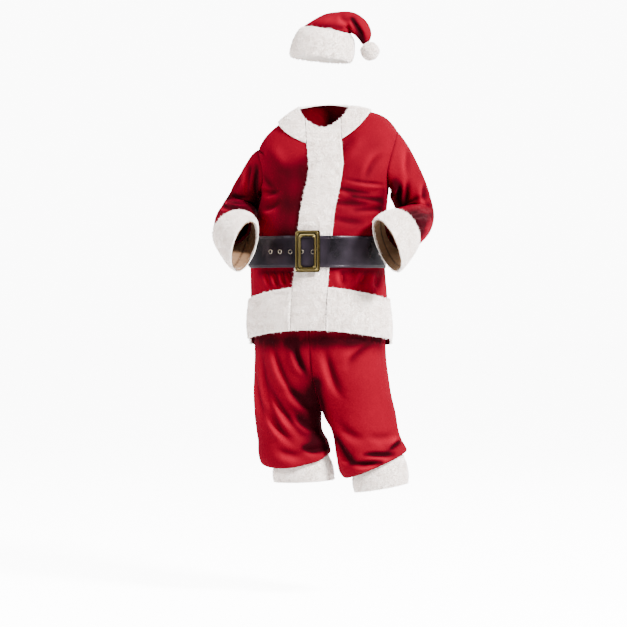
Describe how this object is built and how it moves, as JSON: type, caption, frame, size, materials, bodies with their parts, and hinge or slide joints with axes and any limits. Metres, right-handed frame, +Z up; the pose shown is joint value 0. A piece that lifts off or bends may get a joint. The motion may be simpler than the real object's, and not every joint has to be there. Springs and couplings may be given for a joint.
{
  "type": "santa suit",
  "caption": "Red velour jacket, trousers and hat with white plush trim and a wide buckled black belt, hollow and posed as worn.",
  "frame": {"origin": "centre of the neck opening at the height of the shoulder line", "axes": "+Z up as worn, front faces -Y, +X towards the wearer's left"},
  "size_m": [0.6744, 0.5178, 1.4978],
  "materials": {
    "red_velour": "soft short-pile velour with a sheen",
    "white_plush": "matte short curly plush pile",
    "black_vinyl": "glossy coated strap",
    "antique_brass": "cast, aged and half polished",
    "eyelet_metal": "polished pressed metal",
    "tan_satin": "smooth satin lining"
  },
  "bodies": {
    "root": {"jacket_back": "red_velour", "jacket_front_left": "red_velour", "jacket_front_right": "red_velour", "sleeve_left": "red_velour", "sleeve_right": "red_velour", "trousers_back_left": "red_velour", "trousers_back_right": "red_velour", "trousers_front_left": "red_velour", "trousers_front_right": "red_velour", "trousers_waistband": "red_velour", "hat_crown": "red_velour", "collar": "white_plush", "front_strip": "white_plush", "hem_strip_back": "white_plush", "hem_strip_left": "white_plush", "hem_strip_right": "white_plush", "sleeve_cuff_left": "white_plush", "sleeve_cuff_right": "white_plush", "trousers_cuff_left": "white_plush", "trousers_cuff_right": "white_plush", "hat_band": "white_plush", "hat_pompom": "white_plush", "belt_strap": "black_vinyl", "belt_buckle": "antique_brass", "belt_eyelet_1": "eyelet_metal", "belt_eyelet_2": "eyelet_metal", "belt_eyelet_3": "eyelet_metal", "belt_eyelet_4": "eyelet_metal", "belt_eyelet_5": "eyelet_metal", "cuff_lining_left": "tan_satin", "cuff_lining_right": "tan_satin"}
  },
  "joints": []
}
